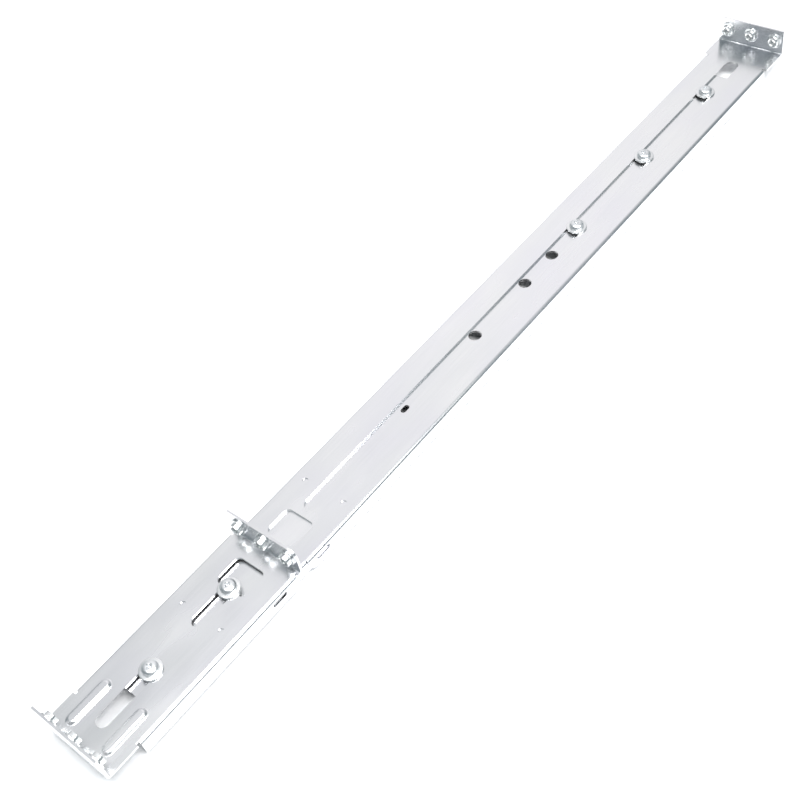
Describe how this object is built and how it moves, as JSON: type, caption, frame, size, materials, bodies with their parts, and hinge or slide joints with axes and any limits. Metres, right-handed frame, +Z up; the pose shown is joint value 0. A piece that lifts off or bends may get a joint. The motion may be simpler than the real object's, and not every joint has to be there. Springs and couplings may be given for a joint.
{
  "type": "sliding server rail",
  "caption": "Telescoping sheet-steel server rail: a front bracket and a long rear bracket slide on a C-shaped channel, with upright rack flanges and threaded inserts.",
  "frame": {"origin": "centre of the rail's bounding box in plan, on the plane it rests on, with the rail at its shortest", "axes": "+X from the front mounting flange to the rear one, +Y across the rail, +Z up from the open side of the channel"},
  "size_m": [0.584, 0.0444, 0.0252],
  "materials": {
    "bracket": "zinc-plated sheet steel, bright",
    "channel": "zinc-plated sheet steel, bright",
    "screw": "zinc-plated steel",
    "washer": "zinc-plated steel",
    "insert": "zinc-plated steel"
  },
  "bodies": {
    "channel_body": {"slide_channel": "channel", "front_clamp_screw": "screw", "front_clamp_washer": "washer", "front_clamp_nut": "insert", "middle_clamp_screw": "screw", "middle_clamp_washer": "washer", "middle_clamp_nut": "insert", "rear_clamp_1_screw": "screw", "rear_clamp_1_washer": "washer", "rear_clamp_1_nut": "insert", "rear_clamp_2_screw": "screw", "rear_clamp_2_washer": "washer", "rear_clamp_2_nut": "insert", "rear_clamp_3_screw": "screw", "rear_clamp_3_washer": "washer", "rear_clamp_3_nut": "insert", "front_clamp_spacer": "washer", "middle_clamp_spacer": "washer"},
    "front_body": {"front_bracket": "bracket", "front_insert_left": "insert", "front_insert_centre": "insert", "front_insert_right": "insert", "middle_insert_left": "insert", "middle_insert_centre": "insert", "middle_insert_right": "insert"},
    "rear_body": {"rear_bracket": "bracket", "rear_insert_left": "insert", "rear_insert_centre": "insert", "rear_insert_right": "insert"}
  },
  "joints": [
    {"name": "front_bracket_slide", "type": "slide", "parent": "channel_body", "child": "front_body", "axis": [1, 0, 0], "range_m": [0, 0.02]},
    {"name": "rear_bracket_slide", "type": "slide", "parent": "channel_body", "child": "rear_body", "axis": [1, 0, 0], "range_m": [-0.014, 0.225]}
  ]
}
